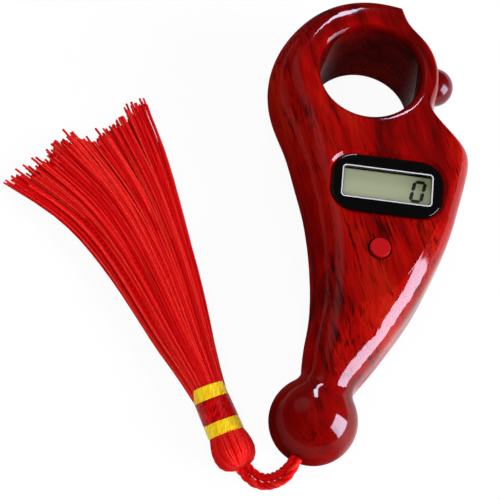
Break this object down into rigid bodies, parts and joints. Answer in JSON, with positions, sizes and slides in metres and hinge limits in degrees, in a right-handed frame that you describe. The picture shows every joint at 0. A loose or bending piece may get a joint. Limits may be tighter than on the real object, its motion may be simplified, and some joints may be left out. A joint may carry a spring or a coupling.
{
  "type": "finger ring tally counter",
  "caption": "Finger-ring digital tally counter: glossy wood-grain case with a finger hole, small display, side count button, reset button and a thread tassel on a cord from its ball end.",
  "frame": {"origin": "on the finger bore's axis, at mid thickness where the two shells meet", "axes": "+X along the display to its right, +Y from the ball end towards the finger ring, +Z along the bore, out of the face"},
  "size_m": [0.0944, 0.1079, 0.0217],
  "materials": {
    "shell_grain": "glossy lacquer over a red and dark brown wood grain",
    "screw_steel": "plain zinc-plated steel",
    "bezel_black": "gloss black with a thin white line round the window",
    "lens_clear": "clear",
    "lcd_glass": "greenish grey liquid crystal panel",
    "holder_white": "matte white",
    "strip_rubber": "matte",
    "board_green": "satin green",
    "resin_black": "semi-gloss resin",
    "button_red": "plain satin red",
    "switch_black": "matte black",
    "wire_cover": "matte red",
    "cell_steel": "bright steel",
    "contact_metal": "nickel-plated spring strip",
    "door_red": "glossy red",
    "thread_red": "silky rayon thread",
    "thread_yellow": "silky yellow thread",
    "thread_dark_red": "silky dark red thread"
  },
  "bodies": {
    "case": {"front_shell": "shell_grain", "rear_shell": "shell_grain", "case_screws": "screw_steel", "display_bezel": "bezel_black", "display_lens": "lens_clear", "lcd_panel": "lcd_glass", "lcd_holder": "holder_white", "zebra_strips": "strip_rubber", "circuit_board": "board_green", "chip_cover": "resin_black", "board_screws": "screw_steel", "reset_switch": "switch_black", "count_switch": "switch_black", "switch_leads": "wire_cover", "button_cell": "cell_steel", "contact_plus": "contact_metal", "contact_minus": "contact_metal", "cell_leads": "wire_cover", "battery_door": "door_red", "door_screw": "screw_steel", "cord_knot": "thread_red", "tassel_cord": "thread_red", "tassel_head": "thread_red", "lower_band": "thread_yellow", "middle_band": "thread_dark_red", "upper_band": "thread_yellow", "tassel_skirt": "thread_red"},
    "count_press_body": {"count_button": "button_red", "count_plunger": "switch_black"},
    "reset_press_body": {"reset_button": "button_red", "reset_plunger": "switch_black"}
  },
  "joints": [
    {"name": "count_press", "type": "slide", "parent": "case", "child": "count_press_body", "axis": [-0.9622, -0.2723, 0], "range_m": [0, 0.0005], "stiffness_N_per_m": 1500},
    {"name": "reset_press", "type": "slide", "parent": "case", "child": "reset_press_body", "axis": [0, 0, -1], "range_m": [0, 0.0005], "stiffness_N_per_m": 2000}
  ]
}
